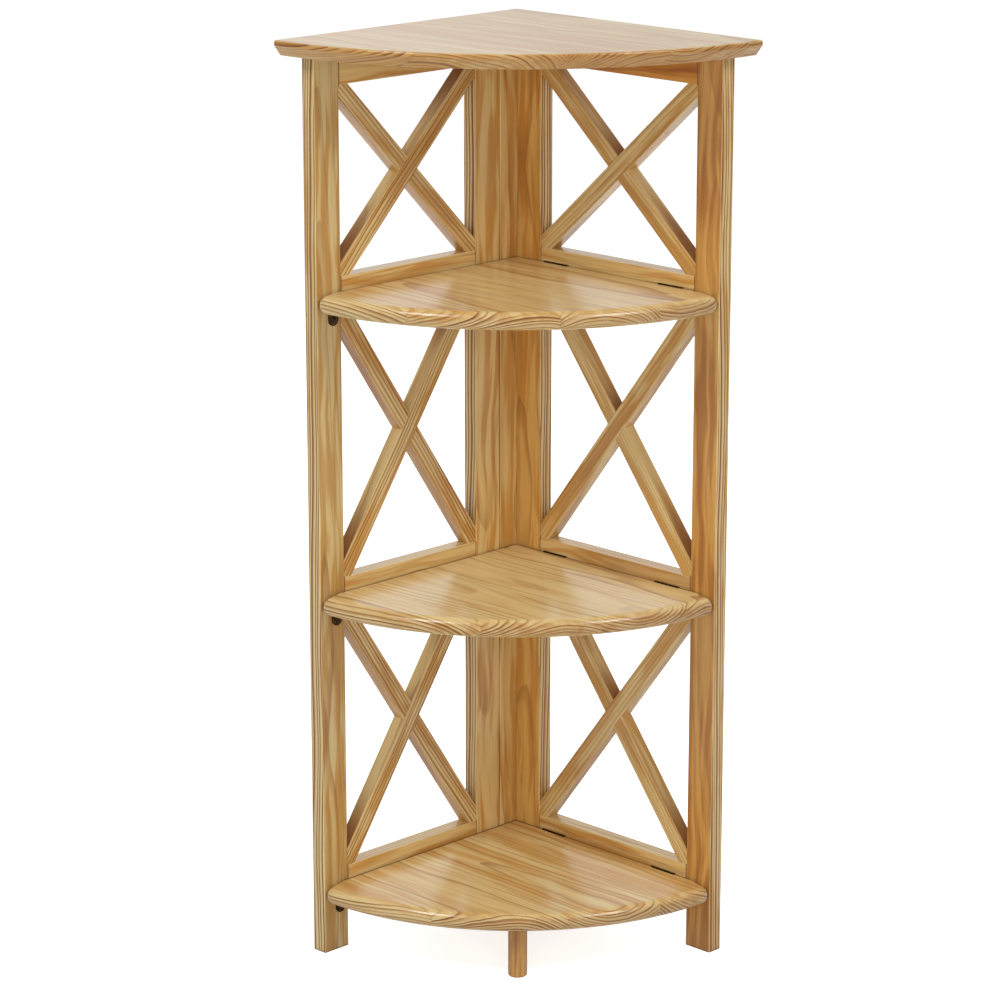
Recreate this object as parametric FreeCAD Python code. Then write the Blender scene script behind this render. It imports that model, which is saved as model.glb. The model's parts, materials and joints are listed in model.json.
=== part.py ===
import FreeCAD, Part
import math
import os

# Folding corner bookcase of clear-finished pine, in millimetres, +Z up.
# While it is drawn, the plan origin is the inner corner of the two side frames.
# The right frame runs along +X, the left frame along -Y, and the shelves fill the quarter between them.
# Every piece is moved at the end so that the origin is under the middle of the top board, on the floor.

Vector = FreeCAD.Vector
X_AXIS = Vector(1, 0, 0)
Y_AXIS = Vector(0, 1, 0)
Z_AXIS = Vector(0, 0, 1)
PARALLEL = 1e-6

# Overall sizes
TOTAL_HEIGHT = 978.0
TOP_THICKNESS = 16.0
TOP_RADIUS = 345.0
TOP_BACK_OVERHANG = 7.0
TOP_LAND = 5.0
TOP_BEVEL_SETBACK = 8.5
TOP_EDGE_ROUND = 2.5

# Side frames
FRAME_REACH = 290.0
FRAME_THICKNESS = 18.0
FRONT_STILE_WIDTH = 34.0
BACK_STILE_WIDTH = 36.0
SPACER_WIDTH = 25.0
CORNER_JOINT_GAP = 0.8
RAIL_HEIGHT = 33.0
RAIL_RISE = 14.5
STILE_EDGE_ROUND = 1.2
RAIL_EDGE_ROUND = 0.8

# Cross braces
BRACE_WIDTH = 19.0
BRACE_THICKNESS = 16.0
BRACE_EDGE_ROUND = 0.8
BRACE_LAP_CLEARANCE = 0.05

# Shelves
LOWEST_SHELF_TOP = 76.5
SHELF_PITCH = 320.5
SHELF_RADIUS = 293.0
SHELF_THICKNESS = 19.0
SHELF_SIDE_GAP = 1.5
SHELF_BACK_GAP = 1.0
SHELF_EDGE_ROUND = 9.0
SHELF_BACK_EDGE_ROUND = 0.8
SHELF_TIP_RADIUS = 10.0
SHELF_ROUND_RUNOUT = 20.0

# Front leg
LEG_RADIUS = 10.0
LEG_SETBACK = 18.5
LEG_FOOT_CHAMFER = 1.0
LEG_SCREW_RADIUS = 3.0
LEG_SCREW_IN_LEG = 22.0
LEG_SCREW_IN_SHELF = 13.0

# Butt hinges
HINGE_LENGTH = 34.0
HINGE_LEAF_REACH = 16.0
HINGE_LEAF_THICKNESS = 0.8
HINGE_BARREL_RADIUS = 1.2
HINGE_PIN_RADIUS = 0.6
HINGE_MIDDLE_KNUCKLE = 12.0
HINGE_KNUCKLE_GAP = 0.2
HINGE_PIN_SEAT = 0.02
HINGE_PIN_RUNNING = 0.05
HINGE_BARREL_CLEARANCE = 0.3
HINGE_MORTISE_CLEARANCE = 0.1
HINGE_SCREW_SPREAD = 20.0
HINGE_SCREW_DROP = 10.0
BACK_HINGE_OFFSET = 7.5
FRONT_HINGE_OFFSET = 15.0
TOP_HINGE_STANDOFF = 0.3
CORNER_HINGE_TOP_DROP = 2.5
CORNER_HINGE_FOOT_RISE = 16.0
CORNER_HINGE_SHELF_DROP = 14.0

# Screws and dowels
SCREW_RADIUS = 1.25
SCREW_HEAD_RADIUS = 2.45
SCREW_LENGTH = 13.0
SCREW_CLEARANCE = 0.05
DOWEL_RADIUS = 3.0
DOWEL_DEPTH = 12.0
DOWEL_SPACING = 18.0
DOWEL_CLEARANCE = 0.05
SPACER_SCREW_RADIUS = 2.0
SPACER_SCREW_HEAD_RADIUS = 4.0
SPACER_SCREW_BITE = 18.0
SPACER_SCREW_DROP = 60.0

# Angle brackets that the shelves rest on
REST_WIDTH = 13.0
REST_HEIGHT = 16.0
REST_REACH = 15.0
REST_THICKNESS = 1.6
REST_SETBACK = 22.0
REST_SCREW_DROP = 9.0
REST_SCREW_HEAD_RADIUS = 3.2
REST_SCREW_HEAD_HEIGHT = 1.8
REST_SCREW_SLOT_WIDTH = 0.9
REST_SCREW_SLOT_DEPTH = 0.8

# Heights and places that follow from the sizes above
FRAME_HEIGHT = TOTAL_HEIGHT - TOP_THICKNESS
SHELF_TOPS = {
    "lower": LOWEST_SHELF_TOP,
    "middle": LOWEST_SHELF_TOP + SHELF_PITCH,
    "upper": LOWEST_SHELF_TOP + 2 * SHELF_PITCH,
}
RAIL_TOPS = {level: top + RAIL_RISE for level, top in SHELF_TOPS.items()}
RAIL_TOPS["top"] = FRAME_HEIGHT
BAYS = {
    "lower_bay": (RAIL_TOPS["lower"], RAIL_TOPS["middle"] - RAIL_HEIGHT),
    "middle_bay": (RAIL_TOPS["middle"], RAIL_TOPS["upper"] - RAIL_HEIGHT),
    "upper_bay": (RAIL_TOPS["upper"], RAIL_TOPS["top"] - RAIL_HEIGHT),
}
TOP_CORNER = FRAME_THICKNESS + TOP_BACK_OVERHANG
PLAN_SHIFT = TOP_RADIUS / 2 - TOP_CORNER
RIGHT_FRAME_START = 0.0
LEFT_FRAME_START = SPACER_WIDTH + CORNER_JOINT_GAP
HINGE_SETOFF = HINGE_BARREL_RADIUS + HINGE_BARREL_CLEARANCE
HINGE_STATIONS = (
    BACK_STILE_WIDTH + BACK_HINGE_OFFSET + HINGE_LENGTH / 2,
    FRAME_REACH - FRONT_STILE_WIDTH - FRONT_HINGE_OFFSET - HINGE_LENGTH / 2,
)
CORNER_HINGE_HEIGHTS = (
    CORNER_HINGE_FOOT_RISE + HINGE_LENGTH / 2,
    SHELF_TOPS["middle"] - SHELF_THICKNESS - CORNER_HINGE_SHELF_DROP - HINGE_LENGTH / 2,
    FRAME_HEIGHT - CORNER_HINGE_TOP_DROP - HINGE_LENGTH / 2,
)
SPACER_SCREW_HEIGHTS = (
    RAIL_TOPS["lower"] + SPACER_SCREW_DROP,
    RAIL_TOPS["middle"] - SPACER_SCREW_DROP,
    RAIL_TOPS["upper"] - SPACER_SCREW_DROP,
    FRAME_HEIGHT - SPACER_SCREW_DROP,
)
LEG_HEIGHT = LOWEST_SHELF_TOP - SHELF_THICKNESS
LEG_PLAN = (SHELF_RADIUS - LEG_SETBACK - LEG_RADIUS) / math.sqrt(2)


def box(low, high):
    """Box between two opposite corners."""
    low = Vector(*low)
    size = Vector(*high) - low
    return Part.makeBox(size.x, size.y, size.z, low)


def rounded_bar(low, high, direction, radius):
    """Box whose four edges along one direction are rounded."""
    bar = box(low, high)
    edges = [edge for edge in bar.Edges if edge.Curve.Direction.cross(direction).Length < PARALLEL]
    return bar.makeFillet(radius, edges)


def upright(low_plan, high_plan):
    """Stile from the floor to the top board, over a rectangle in plan."""
    return rounded_bar((*low_plan, 0), (*high_plan, FRAME_HEIGHT), Z_AXIS, STILE_EDGE_ROUND)


def placed(shape, origin, x_axis, y_axis, z_axis):
    """Copy of a shape drawn in local axes, set at an origin with the given world directions."""
    matrix = FreeCAD.Matrix(
        x_axis.x, y_axis.x, z_axis.x, origin.x,
        x_axis.y, y_axis.y, z_axis.y, origin.y,
        x_axis.z, y_axis.z, z_axis.z, origin.z,
        0, 0, 0, 1,
    )
    copy = shape.copy()
    copy.Placement = FreeCAD.Placement(matrix).multiply(copy.Placement)
    return copy


def countersunk(base, direction, length, shank, head, clearance=0.0):
    """Countersunk screw, or its hole when a clearance is given, with the head's face at base."""
    sink = head - shank
    cone = Part.makeCone(head + clearance, shank + clearance, sink, base, direction)
    body = Part.makeCylinder(shank + clearance, length + clearance, base, direction)
    return cone.fuse(body).removeSplitter()


def add_to(groups, name, shapes):
    """Add shapes to a named list in a dictionary of lists."""
    groups.setdefault(name, []).extend(shapes)


def hinge(setoff, gap):
    """Closed butt hinge about the local X axis.

    The fixed wood's face is at y = setoff and faces -Y, the moving wood's face lies one gap away from it,
    and both leaves reach towards -Z. The moving leaf opens from -Z towards -Y.
    """
    half = HINGE_LENGTH / 2
    middle = HINGE_MIDDLE_KNUCKLE / 2
    radius = HINGE_BARREL_RADIUS
    plate = HINGE_LEAF_THICKNESS
    sweep = math.hypot(setoff, radius) + HINGE_BARREL_CLEARANCE
    fixed_face = setoff
    moving_face = setoff - gap

    def along(start, end, r):
        return Part.makeCylinder(r, end - start, Vector(start, 0, 0), X_AXIS)

    outer_spans = ((-half, -middle - HINGE_KNUCKLE_GAP), (middle + HINGE_KNUCKLE_GAP, half))
    fixed = box((-half, fixed_face, -HINGE_LEAF_REACH), (half, fixed_face + plate, plate - radius))
    for start, end in outer_spans:
        web = box((start, 0, -radius), (end, fixed_face + plate, plate - radius))
        fixed = fixed.fuse([web, along(start, end, radius)])
    middle_room = along(-middle - HINGE_KNUCKLE_GAP, middle + HINGE_KNUCKLE_GAP, HINGE_SETOFF)
    fixed = fixed.cut([middle_room, along(-half, half, HINGE_PIN_RADIUS + HINGE_PIN_SEAT)])

    moving = box((-half, moving_face - plate, -HINGE_LEAF_REACH), (half, moving_face, 0))
    outer_room = [
        along(-half, -middle, sweep),
        along(middle, half, sweep),
    ]
    moving = moving.cut(outer_room).fuse(along(-middle, middle, radius))
    moving = moving.cut(along(-middle, middle, HINGE_PIN_RADIUS + HINGE_PIN_RUNNING))

    pin = along(-half, half, HINGE_PIN_RADIUS)
    fixed_screws, moving_screws, fixed_holes, moving_holes = [], [], [], []
    for x in (-HINGE_SCREW_SPREAD / 2, HINGE_SCREW_SPREAD / 2):
        into_fixed = (Vector(x, fixed_face, -HINGE_SCREW_DROP), Y_AXIS)
        into_moving = (Vector(x, moving_face, -HINGE_SCREW_DROP), -Y_AXIS)
        sizes = (SCREW_LENGTH, SCREW_RADIUS, SCREW_HEAD_RADIUS)
        fixed_screws.append(countersunk(*into_fixed, *sizes))
        fixed_holes.append(countersunk(*into_fixed, *sizes, SCREW_CLEARANCE))
        moving_screws.append(countersunk(*into_moving, *sizes))
        moving_holes.append(countersunk(*into_moving, *sizes, SCREW_CLEARANCE))
    fixed = fixed.cut(fixed_holes).removeSplitter()
    moving = moving.cut(moving_holes).removeSplitter()

    ease = HINGE_MORTISE_CLEARANCE
    room = half + ease
    fixed_mortise = box(
        (-room, fixed_face, -HINGE_LEAF_REACH - ease), (room, fixed_face + plate, plate - radius + ease)
    )
    moving_mortise = box((-room, moving_face - plate, -HINGE_LEAF_REACH - ease), (room, moving_face, 0))
    return {
        "fixed": [fixed],
        "moving": [moving],
        "pin": [pin],
        "fixed_screws": fixed_screws,
        "moving_screws": moving_screws,
        "fixed_cut": [fixed_mortise, along(-room, room, HINGE_SETOFF)] + fixed_holes,
        "moving_cut": [moving_mortise, along(-room, room, sweep + ease)] + moving_holes,
    }


def place_hinges(drawn, places, fixed_wood, moving_wood, names, cuts, nodes):
    """Set copies of a drawn hinge between two pieces of wood.

    Each place holds the origin and the three directions, and names gives the node for each kind of piece.
    The pieces are added to nodes and their recesses in the wood to cuts.
    """
    for place in places:
        for kind, node in names.items():
            add_to(nodes, node, [placed(shape, *place) for shape in drawn[kind]])
        add_to(cuts, fixed_wood, [placed(shape, *place) for shape in drawn["fixed_cut"]])
        add_to(cuts, moving_wood, [placed(shape, *place) for shape in drawn["moving_cut"]])


def to_side(shape, side):
    """Shape drawn for the right frame, mirrored across the corner's diagonal if the side is the left."""
    if side == "right":
        return shape
    return shape.mirror(Vector(0, 0, 0), Vector(1, 1, 0))


def brace_pair(window_start, window_end, low, high, way):
    """Two half-lapped sticks across a window, first the one that shows whole on the room side.

    That stick rises away from the corner if way is 1 and towards it if way is -1.
    The sticks run corner to corner and their ends are cut by the window's edges.
    """
    width = window_end - window_start
    height = high - low
    reach = math.hypot(width, height) + BRACE_WIDTH
    recess = (FRAME_THICKNESS - BRACE_THICKNESS) / 2
    centre = Vector((window_start + window_end) / 2, 0, (low + high) / 2)
    window = box((window_start, 0, low), (window_end, FRAME_THICKNESS, high))
    slope = way * math.degrees(math.atan2(height, width))

    def across(bar, angle):
        bar.rotate(Vector(0, 0, 0), Y_AXIS, -angle)
        bar.translate(centre)
        return bar

    def stick(angle):
        low_corner = (-reach / 2, recess, -BRACE_WIDTH / 2)
        high_corner = (reach / 2, recess + BRACE_THICKNESS, BRACE_WIDTH / 2)
        return across(rounded_bar(low_corner, high_corner, X_AXIS, BRACE_EDGE_ROUND), angle).common(window)

    def notch(angle, face, rear):
        half = BRACE_WIDTH / 2 + BRACE_LAP_CLEARANCE
        return across(box((-reach / 2, face, -half), (reach / 2, rear, half)), angle)

    lap = FRAME_THICKNESS / 2
    whole = stick(slope).cut(notch(-slope, lap - BRACE_LAP_CLEARANCE, FRAME_THICKNESS))
    crossed = stick(-slope).cut(notch(slope, 0, lap + BRACE_LAP_CLEARANCE))
    return whole.removeSplitter(), crossed.removeSplitter()


def side_frame(side, start):
    """One side frame as {name: solid}, {name: dowel holes} and a list of dowels.

    Seen from the room, the stick that rises to the right is the whole one in every window of both frames.
    """
    window_start = start + BACK_STILE_WIDTH
    window_end = FRAME_REACH - FRONT_STILE_WIDTH
    solids = {
        f"{side}_back_stile": upright((start, 0), (window_start, FRAME_THICKNESS)),
        f"{side}_front_stile": upright((window_end, 0), (FRAME_REACH, FRAME_THICKNESS)),
    }
    holes = {}
    dowels = []
    middle = FRAME_THICKNESS / 2
    hole_radius = DOWEL_RADIUS + DOWEL_CLEARANCE
    hole_length = 2 * (DOWEL_DEPTH + DOWEL_CLEARANCE)
    for level, top in RAIL_TOPS.items():
        rail = f"{side}_{level}_rail"
        low_corner = (window_start, 0, top - RAIL_HEIGHT)
        high_corner = (window_end, FRAME_THICKNESS, top)
        solids[rail] = rounded_bar(low_corner, high_corner, X_AXIS, RAIL_EDGE_ROUND)
        for joint, stile in ((window_start, f"{side}_back_stile"), (window_end, f"{side}_front_stile")):
            for offset in (-DOWEL_SPACING / 2, DOWEL_SPACING / 2):
                base = Vector(joint - DOWEL_DEPTH, middle, top - RAIL_HEIGHT / 2 + offset)
                dowels.append(Part.makeCylinder(DOWEL_RADIUS, 2 * DOWEL_DEPTH, base, X_AXIS))
                hole_base = base - X_AXIS * DOWEL_CLEARANCE
                hole = Part.makeCylinder(hole_radius, hole_length, hole_base, X_AXIS)
                add_to(holes, rail, [hole])
                add_to(holes, stile, [hole])
    for bay, (low, high) in BAYS.items():
        rising, falling = brace_pair(window_start, window_end, low, high, 1 if side == "right" else -1)
        solids[f"{side}_{bay}_rising_brace"] = rising
        solids[f"{side}_{bay}_falling_brace"] = falling
    solids = {name: to_side(shape, side) for name, shape in solids.items()}
    holes = {name: [to_side(shape, side) for shape in cutters] for name, cutters in holes.items()}
    return solids, holes, [to_side(shape, side) for shape in dowels]


def edge_profile(length_to_edge, round_radius, thickness):
    """Closed edge section in local x (outwards) and z, rounded above and below at x = length_to_edge."""
    k = round_radius * (1 - math.sqrt(0.5))
    inner = length_to_edge - round_radius
    points = {
        "inner_top": Vector(0, 0, 0),
        "top": Vector(inner, 0, 0),
        "top_mid": Vector(length_to_edge - k, 0, -k),
        "edge_top": Vector(length_to_edge, 0, -round_radius),
        "edge_low": Vector(length_to_edge, 0, round_radius - thickness),
        "low_mid": Vector(length_to_edge - k, 0, k - thickness),
        "low": Vector(inner, 0, -thickness),
        "inner_low": Vector(0, 0, -thickness),
    }
    edges = [
        Part.makeLine(points["inner_top"], points["top"]),
        Part.Arc(points["top"], points["top_mid"], points["edge_top"]).toShape(),
        Part.makeLine(points["edge_top"], points["edge_low"]),
        Part.Arc(points["edge_low"], points["low_mid"], points["low"]).toShape(),
        Part.makeLine(points["low"], points["inner_low"]),
        Part.makeLine(points["inner_low"], points["inner_top"]),
    ]
    return Part.Wire(edges)


def plan_angle(centre, point):
    """Direction from centre to point in plan, in degrees."""
    return math.degrees(math.atan2(point.y - centre.y, point.x - centre.x))


def turned_edge(centre, inner_radius, start_angle, end_angle, band, round_radius, thickness):
    """Rounded edge band swept about a vertical line through centre, from start_angle to end_angle."""
    wire = edge_profile(band, round_radius, thickness)
    wire.translate(Vector(inner_radius, 0, 0))
    wire.rotate(Vector(0, 0, 0), Z_AXIS, start_angle)
    wire.translate(centre)
    return Part.Face(wire).revolve(centre, Z_AXIS, end_angle - start_angle)


def runout_edge(start, outwards, along, band, thickness):
    """Edge band that goes from the full rounding at start to the slight rounding of the back edges."""
    sideways = Z_AXIS.cross(outwards)
    full = placed(edge_profile(band, SHELF_EDGE_ROUND, thickness), start, outwards, sideways, Z_AXIS)
    end = start + along * SHELF_ROUND_RUNOUT
    slight = placed(edge_profile(band, SHELF_BACK_EDGE_ROUND, thickness), end, outwards, sideways, Z_AXIS)
    return Part.makeLoft([full, slight], True, True)


def shelf_board():
    """Quarter-round board with its top face at z = 0, round about the inner corner of the frames."""
    band = SHELF_EDGE_ROUND + (SHELF_THICKNESS - 2 * SHELF_EDGE_ROUND) / 2
    tip = SHELF_TIP_RADIUS
    inner_tip = tip - band
    inner_radius = SHELF_RADIUS - band
    left_edge = SHELF_SIDE_GAP
    back_edge = -SHELF_BACK_GAP
    centre = Vector(0, 0, 0)
    left_tip = Vector(left_edge + tip, -math.sqrt((SHELF_RADIUS - tip) ** 2 - (left_edge + tip) ** 2), 0)
    right_tip = Vector(math.sqrt((SHELF_RADIUS - tip) ** 2 - (tip - back_edge) ** 2), back_edge - tip, 0)
    left_turn = plan_angle(centre, left_tip)
    right_turn = plan_angle(centre, right_tip)

    def at(origin, radius, angle):
        turn = math.radians(angle)
        return origin + Vector(radius * math.cos(turn), radius * math.sin(turn), 0)

    # Plan of the flat part: square along the two back edges, set in by one band where the edge is rounded.
    left_run = left_tip.y + SHELF_ROUND_RUNOUT
    right_run = right_tip.x - SHELF_ROUND_RUNOUT
    left_start = at(left_tip, inner_tip, -180)
    left_end = at(left_tip, inner_tip, left_turn)
    right_start = at(right_tip, inner_tip, right_turn)
    right_end = at(right_tip, inner_tip, 90)
    corners = [
        right_end,
        Vector(right_run, right_end.y, 0),
        Vector(right_run, back_edge, 0),
        Vector(left_edge, back_edge, 0),
        Vector(left_edge, left_run, 0),
        Vector(left_start.x, left_run, 0),
        left_start,
    ]
    outline = [Part.makeLine(a, b) for a, b in zip(corners, corners[1:])]
    left_middle = at(left_tip, inner_tip, (left_turn - 180) / 2)
    front_middle = at(centre, inner_radius, (left_turn + right_turn) / 2)
    right_middle = at(right_tip, inner_tip, (right_turn + 90) / 2)
    outline.append(Part.Arc(left_start, left_middle, left_end).toShape())
    outline.append(Part.Arc(left_end, front_middle, right_start).toShape())
    outline.append(Part.Arc(right_start, right_middle, right_end).toShape())
    flat = Part.Face(Part.Wire(outline)).extrude(Vector(0, 0, -SHELF_THICKNESS))

    sizes = (band, SHELF_EDGE_ROUND, SHELF_THICKNESS)
    bands = [
        turned_edge(centre, inner_radius, left_turn, right_turn, *sizes),
        turned_edge(left_tip, inner_tip, -180, left_turn, *sizes),
        turned_edge(right_tip, inner_tip, right_turn, 90, *sizes),
        runout_edge(left_start, -X_AXIS, Y_AXIS, band, SHELF_THICKNESS),
        runout_edge(right_end, Y_AXIS, -X_AXIS, band, SHELF_THICKNESS),
    ]
    return flat.fuse(bands).removeSplitter()


def top_board():
    """Quarter-round top, round about its own back corner, with a land above an under-bevelled edge."""
    under = FRAME_HEIGHT
    k = TOP_EDGE_ROUND * (1 - math.sqrt(0.5))
    points = [
        Vector(0, 0, under),
        Vector(TOP_RADIUS - TOP_BEVEL_SETBACK, 0, under),
        Vector(TOP_RADIUS, 0, TOTAL_HEIGHT - TOP_LAND),
        Vector(TOP_RADIUS, 0, TOTAL_HEIGHT - TOP_EDGE_ROUND),
        Vector(TOP_RADIUS - TOP_EDGE_ROUND, 0, TOTAL_HEIGHT),
        Vector(0, 0, TOTAL_HEIGHT),
    ]
    edges = [Part.makeLine(points[i], points[i + 1]) for i in (0, 1, 2)]
    rounding = Vector(TOP_RADIUS - k, 0, TOTAL_HEIGHT - k)
    edges.append(Part.Arc(points[3], rounding, points[4]).toShape())
    edges.append(Part.makeLine(points[4], points[5]))
    edges.append(Part.makeLine(points[5], points[0]))
    section = Part.Face(Part.Wire(edges))
    board = section.revolve(Vector(0, 0, 0), Z_AXIS, -90)
    board.translate(Vector(-TOP_CORNER, TOP_CORNER, 0))
    return board


def shelf_rest(underside):
    """Angle bracket on the left front stile, with its slotted round-head screw and the screw's hole."""
    y = REST_SETBACK - FRAME_REACH
    half = REST_WIDTH / 2
    foot = Vector(0, y, underside - REST_HEIGHT + half)
    tip = Vector(REST_REACH - half, y, underside - REST_THICKNESS)
    back = box((0, y - half, foot.z), (REST_THICKNESS, y + half, underside))
    arm = box((0, y - half, tip.z), (tip.x, y + half, underside))
    round_foot = Part.makeCylinder(half, REST_THICKNESS, foot, X_AXIS)
    round_tip = Part.makeCylinder(half, REST_THICKNESS, tip)
    bracket = back.fuse([round_foot, arm, round_tip])
    base = Vector(REST_THICKNESS, y, underside - REST_SCREW_DROP)
    shank = Part.makeCylinder(SCREW_RADIUS, SCREW_LENGTH, base, -X_AXIS)
    rise = REST_SCREW_HEAD_HEIGHT
    sphere_radius = (REST_SCREW_HEAD_RADIUS**2 + rise**2) / (2 * rise)
    dome = Part.makeSphere(sphere_radius, base + X_AXIS * (rise - sphere_radius))
    head_room = Part.makeCylinder(REST_SCREW_HEAD_RADIUS, rise, base, X_AXIS)
    slot_floor = base.x + rise - REST_SCREW_SLOT_DEPTH
    slot_half = REST_SCREW_SLOT_WIDTH / 2
    slot = box((slot_floor, y - half, base.z - slot_half), (base.x + rise, y + half, base.z + slot_half))
    screw = dome.common(head_room).cut(slot).fuse(shank).removeSplitter()
    hole_radius = SCREW_RADIUS + SCREW_CLEARANCE
    hole = Part.makeCylinder(hole_radius, SCREW_LENGTH + SCREW_CLEARANCE, base, -X_AXIS)
    return bracket.cut(hole).removeSplitter(), screw, hole


def front_leg():
    """Round leg under the lowest shelf, its double-ended screw and the screw's hole."""
    foot = Vector(LEG_PLAN, -LEG_PLAN, 0)
    leg = Part.makeCylinder(LEG_RADIUS, LEG_HEIGHT, foot)
    rim = [edge for edge in leg.Edges if edge.BoundBox.ZMax < LEG_FOOT_CHAMFER]
    leg = leg.makeChamfer(LEG_FOOT_CHAMFER, rim)
    length = LEG_SCREW_IN_LEG + LEG_SCREW_IN_SHELF
    base = foot + Vector(0, 0, LEG_HEIGHT - LEG_SCREW_IN_LEG)
    screw = Part.makeCylinder(LEG_SCREW_RADIUS, length, base)
    hole_base = base - Z_AXIS * SCREW_CLEARANCE
    hole = Part.makeCylinder(LEG_SCREW_RADIUS + SCREW_CLEARANCE, length + 2 * SCREW_CLEARANCE, hole_base)
    return leg.cut(hole), screw, hole


def spacer_screws():
    """Long screws from the spacer's outer face into the right back stile, and their holes."""
    screws = []
    holes = []
    length = FRAME_THICKNESS + SPACER_SCREW_BITE
    for height in SPACER_SCREW_HEIGHTS:
        base = Vector(-FRAME_THICKNESS, FRAME_THICKNESS / 2, height)
        sizes = (X_AXIS, length, SPACER_SCREW_RADIUS, SPACER_SCREW_HEAD_RADIUS)
        screws.append(countersunk(base, *sizes))
        holes.append(countersunk(base, *sizes, SCREW_CLEARANCE))
    return screws, holes


def build():
    """All nodes as {name: [solids]}."""
    nodes = {}
    cuts = {}
    for side, start in (("right", RIGHT_FRAME_START), ("left", LEFT_FRAME_START)):
        solids, holes, dowels = side_frame(side, start)
        nodes.update({name: [shape] for name, shape in solids.items()})
        for name, cutters in holes.items():
            add_to(cuts, name, cutters)
        nodes[f"{side}_frame_dowels"] = dowels

    nodes["corner_spacer"] = [upright((-FRAME_THICKNESS, -SPACER_WIDTH), (0, FRAME_THICKNESS))]
    nodes["spacer_screws"], spacer_holes = spacer_screws()
    add_to(cuts, "corner_spacer", spacer_holes)
    add_to(cuts, "right_back_stile", spacer_holes)

    nodes["top_board"] = [top_board()]
    board = shelf_board()
    for level, top in SHELF_TOPS.items():
        shelf = board.copy()
        shelf.translate(Vector(0, 0, top))
        nodes[f"{level}_shelf_board"] = [shelf]
        bracket, screw, hole = shelf_rest(top - SHELF_THICKNESS)
        add_to(nodes, "shelf_rests", [bracket])
        add_to(nodes, "shelf_rest_screws", [screw])
        add_to(cuts, "left_front_stile", [hole])

    leg, leg_screw, leg_hole = front_leg()
    nodes["front_leg"] = [leg]
    nodes["front_leg_screw"] = [leg_screw]
    add_to(cuts, "lower_shelf_board", [leg_hole])

    drawn = hinge(HINGE_SETOFF, SHELF_BACK_GAP)
    for level, top in SHELF_TOPS.items():
        names = {
            "fixed": "shelf_hinge_rail_leaves",
            "moving": f"{level}_shelf_hinge_leaves",
            "pin": "shelf_hinge_pins",
            "fixed_screws": "shelf_hinge_rail_screws",
            "moving_screws": f"{level}_shelf_hinge_screws",
        }
        places = [(Vector(x, -HINGE_SETOFF, top), X_AXIS, Y_AXIS, Z_AXIS) for x in HINGE_STATIONS]
        place_hinges(drawn, places, f"right_{level}_rail", f"{level}_shelf_board", names, cuts, nodes)

    names = {
        "fixed": "top_hinge_rail_leaves",
        "moving": "top_hinge_board_leaves",
        "pin": "top_hinge_pins",
        "fixed_screws": "top_hinge_rail_screws",
        "moving_screws": "top_hinge_board_screws",
    }
    axis_y = FRAME_THICKNESS + TOP_HINGE_STANDOFF
    places = [(Vector(x, axis_y, FRAME_HEIGHT), X_AXIS, -Z_AXIS, Y_AXIS) for x in HINGE_STATIONS]
    place_hinges(hinge(0.0, 0.0), places, "right_top_rail", "top_board", names, cuts, nodes)

    names = {
        "fixed": "corner_hinge_spacer_leaves",
        "moving": "corner_hinge_stile_leaves",
        "pin": "corner_hinge_pins",
        "fixed_screws": "corner_hinge_spacer_screws",
        "moving_screws": "corner_hinge_stile_screws",
    }
    axis_y = -SPACER_WIDTH - CORNER_JOINT_GAP / 2
    places = [(Vector(0, axis_y, height), -Z_AXIS, Y_AXIS, X_AXIS) for height in CORNER_HINGE_HEIGHTS]
    drawn = hinge(CORNER_JOINT_GAP / 2, CORNER_JOINT_GAP)
    place_hinges(drawn, places, "corner_spacer", "left_back_stile", names, cuts, nodes)

    for name, cutters in cuts.items():
        nodes[name] = [shape.cut(cutters).removeSplitter() for shape in nodes[name]]
    return nodes


def export(nodes):
    """Write one STEP file per node, with the origin under the middle of the top board."""
    os.makedirs("parts", exist_ok=True)
    for name, shapes in nodes.items():
        solids = [solid for shape in shapes for solid in shape.Solids]
        for solid in solids:
            solid.translate(Vector(-PLAN_SHIFT, PLAN_SHIFT, 0))
        whole = solids[0] if len(solids) == 1 else Part.makeCompound(solids)
        whole.exportStep(f"parts/{name}.step")
        volume = sum(solid.Volume for solid in solids)
        valid = all(solid.isValid() for solid in solids)
        print(f"{name}: {len(solids)} solids, {volume / 1000:.1f} cm3, valid {valid}")


export(build())
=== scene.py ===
"""Folding corner bookcase: lacquered pine, dark bronze fittings, studio light and camera."""

import json
import math

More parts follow.
